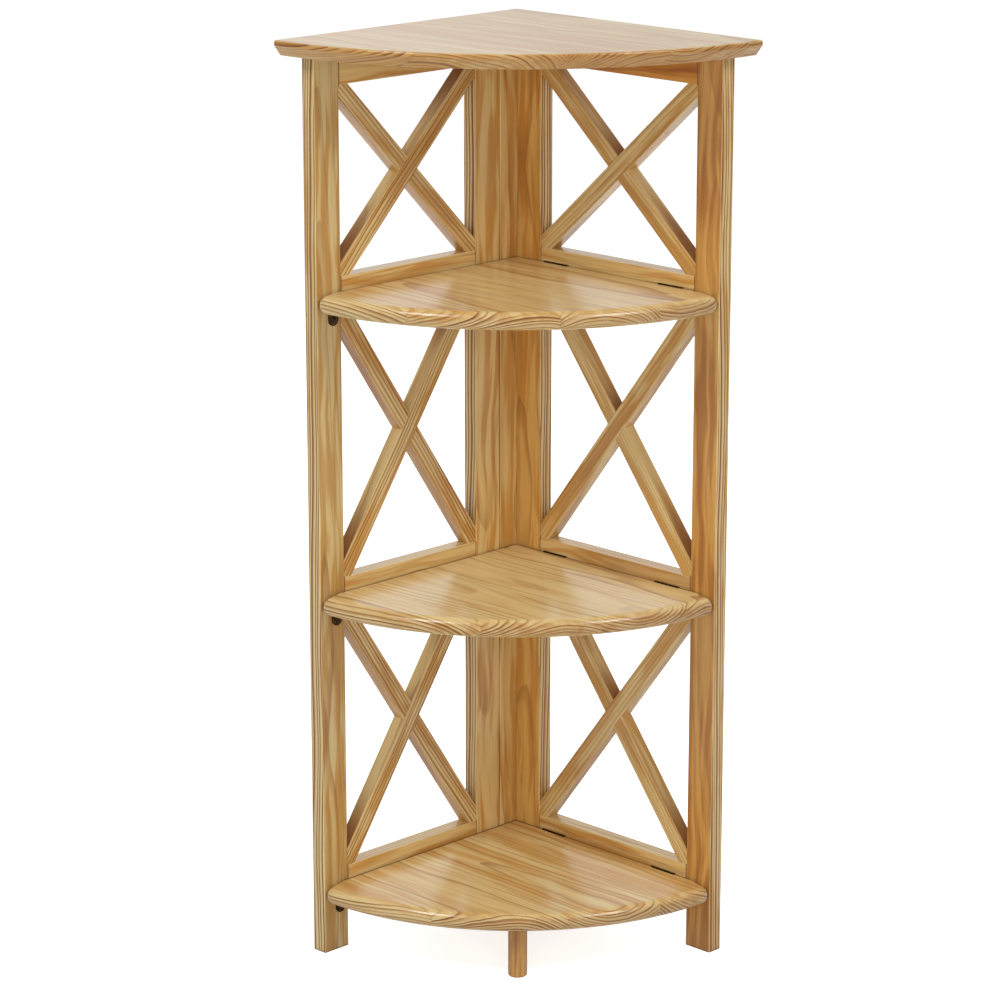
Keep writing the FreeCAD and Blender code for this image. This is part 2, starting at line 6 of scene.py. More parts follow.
import bpy
from bpy.props import FloatProperty, FloatVectorProperty, PointerProperty
from bpy.types import Operator, Panel, PropertyGroup
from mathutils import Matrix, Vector

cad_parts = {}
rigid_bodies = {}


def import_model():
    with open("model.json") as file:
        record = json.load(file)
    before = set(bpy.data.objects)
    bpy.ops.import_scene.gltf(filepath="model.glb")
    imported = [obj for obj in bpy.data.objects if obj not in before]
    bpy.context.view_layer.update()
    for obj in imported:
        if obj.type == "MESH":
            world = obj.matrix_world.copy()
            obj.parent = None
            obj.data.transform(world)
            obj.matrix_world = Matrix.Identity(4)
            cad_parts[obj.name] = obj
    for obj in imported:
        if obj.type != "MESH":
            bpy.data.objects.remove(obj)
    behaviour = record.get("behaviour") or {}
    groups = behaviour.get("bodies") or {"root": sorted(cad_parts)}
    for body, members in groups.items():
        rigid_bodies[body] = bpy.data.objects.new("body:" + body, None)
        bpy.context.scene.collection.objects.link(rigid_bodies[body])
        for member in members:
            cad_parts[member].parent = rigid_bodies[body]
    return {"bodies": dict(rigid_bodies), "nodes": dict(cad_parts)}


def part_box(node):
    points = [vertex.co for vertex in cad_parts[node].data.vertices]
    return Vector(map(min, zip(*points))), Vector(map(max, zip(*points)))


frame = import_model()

bl_info = {
    "name": "Folding corner bookcase",
    "version": (1, 0, 0),
    "blender": (4, 5, 0),
    "location": "View3D > Sidebar > Bookcase",
    "description": "Finishes, light and camera for a folding pine corner bookcase",
    "category": "Object",
}

X_AXIS = Vector((1, 0, 0))
Y_AXIS = Vector((0, 1, 0))
Z_AXIS = Vector((0, 0, 1))
FRONT = (X_AXIS - Y_AXIS).normalized()
RIGHT = (X_AXIS + Y_AXIS).normalized()
WHITE = (1.0, 1.0, 1.0, 1.0)
SHELF_LEVELS = ("lower", "middle", "upper")
RAIL_LEVELS = (*SHELF_LEVELS, "top")
SIDES = ("right", "left")

RINGS = "Growth rings"
PINE = "Pine colour"
BRONZE = "Rubbed bronze"
WOOD_MASKS = (
    "Late", "Line", "Ring", "Tone", "Flame", "Fibre", "Fleck", "Joint", "End Grain", "Edge", "Arris", "Seam",
    "Pool", "Upper",
)
WOOD_COLOURS = ("Early Colour", "Honey Colour", "Late Colour", "Line Colour")

# Distances in metres at which a mask on the wood starts to fade and is gone.
# Painted highlight along sharp edges.
ARRIS_HIGHLIGHT = (0.0003, 0.0011)
GLUE_JOINT = (0.0001, 0.0005)
# Painted shade in a brace's corners and just before its crossing.
CORNER_SHADE = (0.025, 0.100)
CROSSING_SHADE = (0.010, 0.065)

# Distances in metres at which the painted shade along a seam starts to fade, and at which it is gone on a
# stick and on a board.
SEAM_SHADE_CORE = 0.0004
STICK_SEAM_SHADE = 0.0014
BOARD_SEAM_SHADE = 0.0032

# Noise drawn out along the grain, as (waves to the metre along it, waves across it, detail, roughness).
DRIFT = (4.0, 15.0, 1.5, 0.5)
RIPPLE = (19.0, 90.0, 1.0, 0.5)
SWAY = (9.0, 14.0, 1.5, 0.5)
FLAME = (7.0, 95.0, 2.0, 0.55)
FIBRE = (16.0, 950.0, 3.0, 0.6)
FLECK = (55.0, 1300.0, 1.0, 0.5)
FLECK_LEVELS = (0.72, 0.84)

# How far the grain strays: the drift as a multiple of Wander, the others in metres.
DRIFT_GAIN = 4.0
RIPPLE_REACH = 0.0012
SWAY_REACH = 0.024

# Where a stave lies in its tree: metres along the trunk, slope of the trunk, metres that its middle lies to
# the side, and its distance as a share of Pith.
TREE_LENGTH = 13.0
TRUNK_LEAN = 0.03
STICK_SPREAD = 0.012
BOARD_SPREAD = 0.05
NEAREST_PITH = 0.6
PITH_RANGE = 0.9

# Numbers that tell a stave's two random draws apart.
STAVE_DRAW = 0.5
HEART_DRAW = 7.5

# Good and bad years: how quickly they follow each other, and how many years they move a ring.
WEATHER_PACE = 0.8
WEATHER_REACH = 1.3

# Values on a wide face and on a narrow edge: the faintest ring, and the parts of a year when the dark wood
# and the dark line start.
FAINTEST_RING = (0.30, 0.60)
SUMMER = (0.50, 0.34)
AUTUMN = (0.84, 0.73)
EDGE_START = 0.2
RING_DRAW = (0.05, 0.95)
SUMMER_LENGTH = 0.38
AUTUMN_LENGTH = 0.10
YEAR_END = (0.95, 1.0)

# Masks that are laid over the wood's colour one after the other, as (mask, cover, colour).
RING_LAYERS = (
    ("End Grain", 0.40, "Late Colour"),
    ("Late", 0.94, "Late Colour"),
    ("Line", 0.85, "Line Colour"),
)
SURFACE_LAYERS = (
    ("Joint", 0.25, "Late Colour"),
    # Painted shade in a brace's corners, first deepened and then darkened.
    ("Pool", 0.92, "Late Colour"),
    ("Pool", 0.25, "Line Colour"),
    # Painted highlight along sharp edges, paled towards earlywood.
    ("Arris", 0.35, "Early Colour"),
)
AMBER_TINT = (1.0, 0.74, 0.38, 1.0)
EDGE_AMBER = 0.3

# What warms the wood: shares of the stave's and the ring's draw, and noise as (low, high, warmth at each).
STAVE_WARMTH = 0.30
RING_WARMTH = 0.40
PATCH_WAVES = 9.0
PATCH_WARMTH = (0.3, 0.7, -0.12, 0.12)
FLAME_WARMTH = (0.36, 0.64, -0.45, 0.60)

# Warmth at which the wood starts to take a deeper colour and has it.
TO_HONEY = (0.0, 1.0)
TO_LATE = (0.9, 2.3)

# Fine marks: fibres as (low, high, shade at each), and the cover of resin flecks, with what latewood adds.
STREAKS = (0.25, 0.75, 0.90, 1.07)
RESIN_COVER = 0.10
LATE_RESIN = 0.35

# Gloss and relief of the wood and its lacquer.
WOOD_ROUGHNESS = 0.36
FIBRE_ROUGHNESS = 0.14
LATE_SMOOTHNESS = 0.06
FIBRE_RELIEF = 0.35
LATE_RELIEF = 0.5
WOOD_SPECULAR = 0.15
COAT = 0.85
# Coat taken away where shade is painted in corners and joints, so that the gloss is shaded too.
PAINTED_SHADE_COAT_LOSS = 0.80
COAT_IOR = 1.5
PINE_BUMP = {"Strength": 0.25, "Distance": 0.00008}

# Plating: patches as (waves to the metre, detail, roughness), waves of its grain, where it is worn, and its
# gloss as (low, high, roughness at each).
WEAR_PATCHES = (210.0, 3.0, 0.6)
PLATING_GRAIN = 1600.0
WORN = (0.45, 0.72)
PLATING_ROUGHNESS = (0.3, 0.7, 0.30, 0.46)
GRAIN_ROUGHNESS = 0.12
BRONZE_BUMP = {"Strength": 0.2, "Distance": 0.00005}
LEAF_WEAR = 0.35
HEAD_WEAR = 0.75
REST_WEAR = 0.8
PIN_WEAR = 0.5
WOOD_SCREW_WEAR = 0.4

# How deep and warm a piece of wood is, where a piece says nothing else.
PLAIN_TONE = {
    "Depth": 0.0, "Edge Depth": -0.4, "Upper Depth": 0.0, "Flames": 1.0, "Amber": 0.35, "Shade": 1.0,
    "Edge Shade": 1.0, "Seams": 0.95,
}
BOARD_TONE = {**PLAIN_TONE, "Flames": 0.5, "Amber": 0.0, "Edge Shade": 0.87}
FRAME_TONES = {
    "left_front_stile": {"Depth": 0.25, "Edge Depth": -0.8, "Amber": 0.0, "Shade": 0.87},
    "right_front_stile": {"Depth": 0.70, "Edge Depth": -1.0, "Amber": 0.30, "Edge Shade": 0.9},
    "left_back_stile": {"Edge Depth": -0.7, "Amber": 0.30, "Flames": 1.3},
    "right_back_stile": {"Amber": 0.80},
    # Painted shade: the right top rail is made deep and amber where the top shades it.
    "right_top_rail": {"Depth": 1.0, "Edge Depth": -1.0, "Amber": 1.0},
}
BRACE_TONE = {"Depth": 0.20, "Edge Depth": -0.15, "Amber": 0.20}
TOP_TONE = {
    "Depth": 0.30, "Edge Depth": 0.40, "Flames": 0.3, "Shade": 0.96, "Edge Shade": 0.90, "Seams": 0.0,
}
LEG_TONE = {"Depth": 0.95, "Amber": 0.1, "Shade": 0.92}

# How clearly the rings show.
STICK_FACE_CONTRAST = 0.42
STILE_EDGE_CONTRAST = 1.2
RAIL_EDGE_CONTRAST = 0.45
SHELF_FACE_CONTRAST = 0.60
TOP_FACE_CONTRAST = 0.40

# As (edge contrast, depth of the upper side as painted light and shade, weights of the painted shade in its
# corners).
BRACE_LOOKS = {
    "right": (0.4, 0.10, (0.0, 1.0, 1.0)),
    "left": (0.8, -0.60, (1.0, 0.0, 1.0)),
}
NO_CORNER_SHADES = (0.0, 0.0, 0.0)

# As (seed, place of the first glue joint in staves, tone).
SHELF_LOOKS = {
    "lower": (5.2, 0.2, {"Depth": 0.1, "Edge Depth": -0.40}),
    "middle": (8.9, 0.9, {"Depth": -0.25, "Edge Depth": 0.35}),
    "upper": (14.3, 0.3, {"Depth": -0.1, "Edge Depth": -0.05}),
}
TOP_SEED, TOP_OFFSET = 21.4, 0.4
FRAME_SEED, FRAME_SEED_STEP = 3.0, 1.7
BRACE_SEED, BRACE_SEED_STEP = 41.0, 1.3
LEG_SEED = 77.0
DOWEL_SEEDS = (90.0, 93.0)

# Floor: metres to its edge, brightness where it is seen, and patches and mirrored floor as (low, high, level
# at each), the second by metres in front of the middle.
FLOOR_REACH = 14.0
FLOOR_GLOW = 0.76
FLOOR_ROUGHNESS = 0.9
FLOOR_PATCHES = 1.2
FLOOR_SHADES = (0.3, 0.7, 0.985, 1.0)
FLOOR_MIRRORED = (-1.5, -0.2, 1.0, 0.1)

# Mirrored backdrop, by how far a direction looks to the front, and to the right with the level at each end.
BACKDROP = (-0.75, -0.15)
BACKDROP_SIDES = (-0.08, 0.08, 1.0, 0.65)
SENSOR_WIDTH = 36.0
LAMP_TARGET = Vector((0.0, 0.0, 0.5))

# As (place, size, whether the lacquer mirrors the lamp).
LAMPS = {
    "key": (Vector((-0.1, -2.2, 2.75)), (0.9, 0.9), True),
    "fill": (Vector((2.3, 0.1, 2.5)), (0.8, 0.9), True),
    "front": (Vector((2.1, -2.1, 1.05)), (2.4, 1.5), False),
    "back": (Vector((-2.1, 2.1, 1.5)), (2.0, 1.5), False),
}


class BookcasePine(PropertyGroup):
    """How the pine was cut, its colours and its lacquer."""

    shelf_stave: FloatProperty(
        name="Shelf stave", description="Width of the staves that the shelves are glued from",
        default=0.095, min=0.02, unit="LENGTH", precision=4,
    )
    shelf_rings: FloatProperty(
        name="Shelf rings", description="Mean distance between growth rings in the shelves",
        default=0.0036, min=0.001, unit="LENGTH", precision=4,
    )
    shelf_pith: FloatProperty(
        name="Shelf pith", description="Distance of the tree's middle from the shelf's face",
        default=0.080, min=0.0, unit="LENGTH", precision=4,
    )
    stick_rings: FloatProperty(
        name="Stick rings", description="Mean distance between growth rings in stiles, rails and braces",
        default=0.0042, min=0.001, unit="LENGTH", precision=4,
    )
    stick_pith: FloatProperty(
        name="Stick pith", description="Distance of the tree's middle from a stick's wide face",
        default=0.048, min=0.0, unit="LENGTH", precision=4,
    )
    wander: FloatProperty(
        name="Wander", description="How far the growth rings stray along the grain",
        default=0.0036, min=0.0, unit="LENGTH", precision=4,
    )
    early: FloatVectorProperty(
        name="Earlywood", description="Colour of the pale spring wood",
        default=(0.700, 0.525, 0.240), min=0.0, max=1.0, subtype="COLOR",
    )
    honey: FloatVectorProperty(
        name="Honey", description="Colour of the deeper toned wood",
        default=(0.560, 0.312, 0.088), min=0.0, max=1.0, subtype="COLOR",
    )
    late: FloatVectorProperty(
        name="Latewood", description="Colour of the dense summer wood",
        default=(0.310, 0.115, 0.026), min=0.0, max=1.0, subtype="COLOR",
    )
    line: FloatVectorProperty(
        name="Ring line", description="Colour of the thin dark line where a year's growth ends",
        default=(0.130, 0.045, 0.011), min=0.0, max=1.0, subtype="COLOR",
    )
    lacquer_roughness: FloatProperty(
        name="Lacquer roughness", description="Roughness of the clear lacquer coat",
        default=0.20, min=0.0, max=1.0, subtype="FACTOR",
    )


class BookcaseFittings(PropertyGroup):
    """Colours of the hinges, brackets, pins and screws."""

    bronze: FloatVectorProperty(
        name="Bronze", description="Colour of the dark bronze plating",
        default=(0.060, 0.032, 0.016), min=0.0, max=1.0, subtype="COLOR",
    )
    rubbed: FloatVectorProperty(
        name="Rubbed bronze", description="Colour where the plating has been rubbed",
        default=(0.210, 0.130, 0.070), min=0.0, max=1.0, subtype="COLOR",
    )
    steel: FloatVectorProperty(
        name="Steel", description="Colour of the drawn steel pins",
        default=(0.350, 0.340, 0.320), min=0.0, max=1.0, subtype="COLOR",
    )
    zinc: FloatVectorProperty(
        name="Zinc", description="Colour of the plated wood screws",
        default=(0.500, 0.490, 0.450), min=0.0, max=1.0, subtype="COLOR",
    )


class BookcaseStage(PropertyGroup):
    """Camera, lamps and floor."""

    camera_distance: FloatProperty(
        name="Camera distance", description="Plan distance of the camera from the frames' inner corner",
        default=3.8, min=0.5, unit="LENGTH",
    )
    camera_height: FloatProperty(
        name="Camera height", description="Height of the camera above the floor",
        default=1.4734, min=0.0, unit="LENGTH",
    )
    camera_bearing: FloatProperty(
        name="Camera bearing",
        description="Direction of the camera from the corner, from the front towards the right",
        default=math.radians(44.577), subtype="ANGLE",
    )
    camera_aim: FloatProperty(
        name="Camera aim", description="Turn of the camera away from the corner, to the left",
        default=math.radians(0.269), subtype="ANGLE",
    )
    camera_dip: FloatProperty(
        name="Camera dip", description="Angle of the camera below level",
        default=math.radians(15.125), subtype="ANGLE",
    )
    camera_lens: FloatProperty(
        name="Lens", description="Focal length of the camera",
        default=129.77, min=10.0, unit="CAMERA",
    )
    key_power: FloatProperty(
        name="Key lamp", description="Power of the soft lamp high at the front left",
        default=39.0, min=0.0, unit="POWER",
    )
    fill_power: FloatProperty(
        name="Fill lamp", description="Power of the soft lamp high at the front right",
        default=29.5, min=0.0, unit="POWER",
    )
    front_power: FloatProperty(
        name="Front lamp", description="Power of the wide low lamp that reaches into the corner",
        default=34.0, min=0.0, unit="POWER",
    )
    back_power: FloatProperty(
        name="Back lamp", description="Power of the wide lamp that lights the back",
        default=25.0, min=0.0, unit="POWER",
    )
    sky: FloatProperty(
        name="Room light", description="Strength of the even light from all round",
        default=0.36, min=0.0,
    )
    floor: FloatVectorProperty(
        name="Floor", description="Colour of the pale floor",
        default=(0.76, 0.76, 0.76), min=0.0, max=1.0, subtype="COLOR",
    )


class Net:
    """Adds linked nodes to a node tree. An input is either a socket or a plain value."""

    def __init__(self, tree):
        self.tree = tree

    def put(self, target, value):
        """Link a socket to an input, or set its value."""
        if isinstance(value, bpy.types.NodeSocket):
            self.tree.links.new(value, target)
        else:
            target.default_value = value

    def put_all(self, targets, values):
        """Link or set inputs by name."""
        for name, value in values.items():
            self.put(targets[name], value)

    def put_in_order(self, targets, values):
        """Link or set inputs in the order they come."""
        for target, value in zip(targets, values):
            self.put(target, value)

    def node(self, kind, inputs=None, **settings):
        """New node with the given settings and inputs by name."""
        made = self.tree.nodes.new(kind)
        for name, value in settings.items():
            setattr(made, name, value)
        self.put_all(made.inputs, inputs or {})
        return made

    def math(self, operation, *values):
        """Result of a Math node."""
        made = self.node("ShaderNodeMath", operation=operation)
        self.put_in_order(made.inputs, values)
        return made.outputs[0]

    def chain(self, operation, first, *others):
        """Result of Math nodes that take in one more value each."""
        for value in others:
            first = self.math(operation, first, value)
        return first

    def plus(self, *values):
        """Sum of numbers."""
        return self.chain("ADD", *values)

    def minus(self, first, second):
        """First number less the second."""
        return self.math("SUBTRACT", first, second)

    def times(self, *values):
        """Product of numbers."""
        return self.chain("MULTIPLY", *values)

    def most(self, *values):
        """Largest of several numbers."""
        return self.chain("MAXIMUM", *values)

    def least(self, *values):
        """Smallest of several numbers."""
        return self.chain("MINIMUM", *values)

    def vector(self, operation, *values):
        """Result of a Vector Math node: a number for a dot product, and otherwise a vector."""
        made = self.node("ShaderNodeVectorMath", operation=operation)
        self.put_in_order(made.inputs, values)
        return made.outputs["Value" if operation == "DOT_PRODUCT" else "Vector"]

    def dot(self, first, second):
        """Dot product of two vectors."""
        return self.vector("DOT_PRODUCT", first, second)

    def combine(self, x, y, z):
        """Vector from three numbers."""
        return self.node("ShaderNodeCombineXYZ", {"X": x, "Y": y, "Z": z}).outputs[0]

    def split(self, vector):
        """Three numbers of a vector."""
        return self.node("ShaderNodeSeparateXYZ", {"Vector": vector}).outputs

    def place(self, name="Object"):
        """Position on the object, or another coordinate of its surface."""
        return self.node("ShaderNodeTexCoord").outputs[name]

    def chance(self, x, y, z):
        """Four random numbers that depend on three others."""
        made = self.node("ShaderNodeTexWhiteNoise", {"Vector": self.combine(x, y, z)}, noise_dimensions="3D")
        parts = self.node("ShaderNodeSeparateColor", {"Color": made.outputs["Color"]})
        return (*parts.outputs[:3], made.outputs["Value"])

    def noise(self, vector, detail=2.0, roughness=0.5):
        """Smooth noise between 0 and 1 with a cell size of 1."""
        made = self.node(
            "ShaderNodeTexNoise", {"Vector": vector, "Scale": 1.0, "Detail": detail, "Roughness": roughness}
        )
        return made.outputs[0]

    def cloud(self, count, detail=2.0, roughness=0.5):
        """Noise over the object with the given number of waves to the metre."""
        return self.noise(self.vector("MULTIPLY", self.place(), (count, count, count)), detail, roughness)

    def spread(self, value, low, high, to_low=0.0, to_high=1.0):
        """Value taken smoothly from one range to another."""
        made = self.node("ShaderNodeMapRange", interpolation_type="SMOOTHSTEP")
        self.put_in_order(made.inputs, (value, low, high, to_low, to_high))
        return made.outputs[0]

    def fade(self, value, start, gone):
        """1 up to one value, and from there smoothly down to 0."""
        return self.spread(value, start, gone, 1.0, 0.0)

    def mix(self, factor, first, second, blend="MIX"):
        """Mixed colour. The node's first colour sockets come after those of its other kinds."""
        made = self.node("ShaderNodeMix", data_type="RGBA", blend_type=blend)
        self.put_in_order((made.inputs[0], made.inputs[6], made.inputs[7]), (factor, first, second))
        return made.outputs[2]

    def shade(self, colour, level):
        """Colour made darker or lighter by a number."""
        return self.mix(1.0, colour, self.combine(level, level, level), "MULTIPLY")


def new_group(name, inputs, outputs):
    """Empty shader node group with named sockets, as (net, input sockets, output node)."""
    kinds = {"float": "NodeSocketFloat", "vector": "NodeSocketVector", "colour": "NodeSocketColor"}
    group = bpy.data.node_groups.new(name, "ShaderNodeTree")
    for direction, sockets in (("INPUT", inputs), ("OUTPUT", outputs)):
        for socket, kind in sockets.items():
            group.interface.new_socket(name=socket, in_out=direction, socket_type=kinds[kind])
    net = Net(group)
    return net, net.node("NodeGroupInput").outputs, net.node("NodeGroupOutput")


def arris_highlight_mask(net, half, reaches):
    """Painted highlight along the sharp edges of a piece, where the surface is near to two of its sides."""
    length, width, depth = (
        net.minus(size, net.math("ABSOLUTE", reach)) for size, reach in zip(half, reaches)
    )
    second = net.most(net.least(length, width), net.least(net.most(length, width), depth))
    return net.fade(second, *ARRIS_HIGHLIGHT)


def seam_shade_mask(net, half, reaches, edgeways, end_grain, both_ends):
    """Painted shade in a thin line where a piece meets its neighbour, for the shadow in the joint: at a
    stick's ends, or at a board's low end and back.
    """
    along, across, _ = reaches
    board = net.minus(1.0, both_ends)
    # A side that meets nothing is put a metre further off.
    far_end = net.plus(net.minus(half[0], along), board)
    back = net.plus(net.minus(half[1], across), both_ends)
    distance = net.least(net.plus(half[0], along), far_end, back)
    gone = net.plus(STICK_SEAM_SHADE, net.times(board, BOARD_SEAM_SHADE - STICK_SEAM_SHADE))
    shown = net.times(net.minus(1.0, net.times(board, edgeways)), net.minus(1.0, end_grain))
    return net.times(net.fade(distance, SEAM_SHADE_CORE, gone), shown)


def corner_shade_mask(net, half_length, along, weights):
    """Painted shade in the corners of a brace: at its start, just before its crossing where the other brace
    shades it, and at its end.
    """
    before_crossing = net.fade(net.times(along, -1.0), *CROSSING_SHADE)
    corner_shades = (
        net.fade(net.plus(half_length, along), *CORNER_SHADE),
        net.times(before_crossing, net.math("LESS_THAN", along, 0.0)),
        net.fade(net.minus(half_length, along), *CORNER_SHADE),
    )
    return net.most(*(net.times(corner_shade, weight) for corner_shade, weight in zip(corner_shades, net.split(weights))))


def ring_group():
    """Growth rings of a tree, cut by the piece's surface.

    Grain is the direction of the trunk and Face the normal of the piece's wide face. Each stave has a trunk
    of its own, whose middle lies beside the stave, leans and wanders a little. Both Ends is 1 for a stick,
    which meets its neighbours with both ends, and 0 for a board. The corner places weigh the painted shade
    in the corners on the side of a brace that looks along Face.
    """
    if RINGS in bpy.data.node_groups:
        return bpy.data.node_groups[RINGS]
    vectors = ("Centre", "Grain", "Face", "Half Size", "Pool Places")
    numbers = (
        "Seed", "Stave", "Offset", "Spacing", "Pith", "Spread", "Wander", "Lean", "Face Contrast",
        "Edge Contrast", "Both Ends",
    )
    net, given, out = new_group(
        RINGS, {**dict.fromkeys(vectors, "vector"), **dict.fromkeys(numbers, "float")},
        dict.fromkeys(WOOD_MASKS, "float"),
    )
    place = net.vector("SUBTRACT", net.place(), given["Centre"])
    normal = net.place("Normal")
    sideways = net.vector("CROSS_PRODUCT", given["Face"], given["Grain"])
    reaches = tuple(net.dot(place, axis) for axis in (given["Grain"], sideways, given["Face"]))
    along, across, depth = reaches
    half = net.split(given["Half Size"])
    cut = net.dot(normal, given["Grain"])
    end_grain = net.times(cut, cut)
    flat = net.dot(normal, given["Face"])
    edgeways = net.minus(1.0, net.times(flat, flat))

    in_staves = net.plus(net.math("DIVIDE", across, given["Stave"]), given["Offset"])
    stave = net.math("FLOOR", in_staves)
    off_middle = net.minus(net.math("FRACT", in_staves), 0.5)
    to_joint = net.times(net.minus(0.5, net.math("ABSOLUTE", off_middle)), given["Stave"])
    pith_side, pith_depth, lean, tone = net.chance(stave, given["Seed"], STAVE_DRAW)
    heart, _, _, shift = net.chance(stave, given["Seed"], HEART_DRAW)
    moved = net.plus(along, net.times(shift, TREE_LENGTH))

    def grain_noise(waves, crosswise):
        """Noise that is drawn out along the grain."""
        lengthways, crossways, detail, roughness = waves
        spot = (net.times(moved, lengthways), net.times(crosswise, crossways), net.times(depth, crossways))
        return net.noise(net.combine(*spot), detail, roughness)

    def by_side(on_face, on_edge):
        """Value that differs between the wide faces and the edges."""
        return net.spread(edgeways, EDGE_START, 1.0, on_face, on_edge)

    heart_side = net.minus(net.times(net.math("GREATER_THAN", heart, 0.5), 2.0), 1.0)
    pith = net.times(given["Pith"], net.plus(NEAREST_PITH, net.times(pith_depth, PITH_RANGE)))
    leaning = net.times(net.minus(lean, 0.5), given["Lean"], along)
    high = net.plus(depth, net.times(pith, heart_side), leaning)
    aside = net.times(net.minus(pith_side, 0.5), net.times(given["Spread"], 2.0))
    beside = net.minus(net.times(off_middle, given["Stave"]), aside)
    radius = net.math("SQRT", net.plus(net.times(beside, beside), net.times(high, high)))
    drift = net.minus(grain_noise(DRIFT, across), 0.5)
    ripple = net.minus(grain_noise(RIPPLE, across), 0.5)
    drifted = net.times(drift, net.times(given["Wander"], DRIFT_GAIN))
    stray = net.plus(drifted, net.times(ripple, RIPPLE_REACH))

    years = net.math("DIVIDE", net.plus(radius, stray), given["Spacing"])
    weather = net.noise(net.combine(net.times(years, WEATHER_PACE), net.plus(stave, given["Seed"]), 0.0), 1.0)
    years = net.plus(years, net.times(weather, WEATHER_REACH))
    season = net.math("FRACT", years)
    strength, ring, _, _ = net.chance(net.math("FLOOR", years), stave, given["Seed"])
    strength = net.spread(strength, *RING_DRAW, by_side(*FAINTEST_RING), 1.0)
    contrast = net.spread(edgeways, 0.0, 1.0, given["Face Contrast"], given["Edge Contrast"])
    strength = net.times(strength, contrast)
    ending = net.fade(season, *YEAR_END)
    summer = by_side(*SUMMER)
    late = net.times(net.spread(season, summer, net.plus(summer, SUMMER_LENGTH)), ending, strength)
    autumn = by_side(*AUTUMN)
    line = net.times(net.spread(season, autumn, net.plus(autumn, AUTUMN_LENGTH)), ending)
    line = net.times(line, net.times(strength, strength))

    sway = net.minus(grain_noise(SWAY, across), 0.5)
    swayed = net.plus(across, net.times(sway, SWAY_REACH))
    corner_shade = corner_shade_mask(net, half[0], along, given["Pool Places"])
    net.put_all(out.inputs, {
        "Late": late,
        "Line": line,
        "Ring": ring,
        "Tone": tone,
        "Flame": grain_noise(FLAME, swayed),
        "Fibre": grain_noise(FIBRE, across),
        "Fleck": net.spread(grain_noise(FLECK, across), *FLECK_LEVELS),
        "Joint": net.fade(to_joint, *GLUE_JOINT),
        "End Grain": end_grain,
        "Edge": edgeways,
        "Arris": arris_highlight_mask(net, half, reaches),
        "Seam": seam_shade_mask(net, half, reaches, edgeways, end_grain, given["Both Ends"]),
        "Pool": net.times(corner_shade, net.most(flat, 0.0)),
        "Upper": flat,
    })
    return net.tree


def pine_group():
    """Colour, roughness, height and coat of lacquered pine from its growth rings and its tone."""
    if PINE in bpy.data.node_groups:
        return bpy.data.node_groups[PINE]
    net, given, out = new_group(
        PINE,
        {
            **dict.fromkeys(WOOD_MASKS, "float"), **dict.fromkeys(WOOD_COLOURS, "colour"),
            **dict.fromkeys(PLAIN_TONE, "float"),
        },
        {"Colour": "colour", "Roughness": "float", "Height": "float", "Coat": "float"},
    )
    warmth = net.plus(
        net.times(given["Tone"], STAVE_WARMTH),
        net.times(given["Ring"], RING_WARMTH),
        net.spread(net.cloud(PATCH_WAVES), *PATCH_WARMTH),
        net.times(net.spread(given["Flame"], *FLAME_WARMTH), given["Flames"]),
        net.times(given["Edge"], given["Edge Depth"]),
        # Painted light and shade: the upper side of a brace is made paler on one frame and deeper on the
        # other.
        net.times(given["Upper"], given["Upper Depth"]),
        given["Depth"],
    )
    body = net.mix(net.spread(warmth, *TO_HONEY), given["Early Colour"], given["Honey Colour"])
    body = net.mix(net.spread(warmth, *TO_LATE), body, given["Late Colour"])
    for mask, cover, colour in RING_LAYERS:
        body = net.mix(net.times(given[mask], cover), body, given[colour])
    amber = net.times(given["Amber"], net.spread(given["Edge"], 0.0, 1.0, 1.0, EDGE_AMBER))
    body = net.mix(amber, body, AMBER_TINT, "MULTIPLY")
    streak = net.times(
        net.spread(given["Fibre"], *STREAKS), given["Shade"],
        net.spread(given["Edge"], 0.0, 1.0, 1.0, given["Edge Shade"]),
    )
    body = net.shade(body, streak)
    resin = net.times(given["Fleck"], net.plus(RESIN_COVER, net.times(given["Late"], LATE_RESIN)))
    body = net.mix(resin, body, given["Late Colour"])
    for mask, cover, colour in SURFACE_LAYERS:
        body = net.mix(net.times(given[mask], cover), body, given[colour])
    # Painted shade along the joints, in the colour of the ring line.
    seam_shade = net.times(given["Seam"], given["Seams"])
    body = net.mix(seam_shade, body, given["Line Colour"])
    rough = net.plus(WOOD_ROUGHNESS, net.times(given["Fibre"], FIBRE_ROUGHNESS))
    net.put_all(out.inputs, {
        "Colour": body,
        "Roughness": net.minus(rough, net.times(given["Late"], LATE_SMOOTHNESS)),
        "Height": net.plus(net.times(given["Fibre"], FIBRE_RELIEF), net.times(given["Late"], LATE_RELIEF)),
        # The coat thins under the painted shade of corners and joints.
        "Coat": net.minus(COAT, net.times(net.most(given["Pool"], seam_shade), PAINTED_SHADE_COAT_LOSS)),
    })
    return net.tree


def bronze_group():
    """Colour, roughness and height of dark plating that has been rubbed and has dulled in places."""
    if BRONZE in bpy.data.node_groups:
        return bpy.data.node_groups[BRONZE]
    net, given, out = new_group(
        BRONZE, {"Plate": "colour", "Rubbed": "colour", "Wear": "float"},
        {"Colour": "colour", "Roughness": "float", "Height": "float"},
    )
    cloud = net.cloud(*WEAR_PATCHES)
    grain = net.cloud(PLATING_GRAIN)
    worn = net.times(net.spread(cloud, *WORN), given["Wear"])
    net.put_all(out.inputs, {
        "Colour": net.mix(worn, given["Plate"], given["Rubbed"]),
        "Roughness": net.plus(net.spread(cloud, *PLATING_ROUGHNESS), net.times(grain, GRAIN_ROUGHNESS)),
        "Height": grain,
    })
    return net.tree


def new_material(name):
    """Empty material, as (material, net, Principled shader)."""
    material = bpy.data.materials.new(name)
    material.use_nodes = True
    material.node_tree.nodes.clear()
    net = Net(material.node_tree)
    shader = net.node("ShaderNodeBsdfPrincipled")
    net.node("ShaderNodeOutputMaterial", {"Surface": shader.outputs[0]})
    return material, net, shader


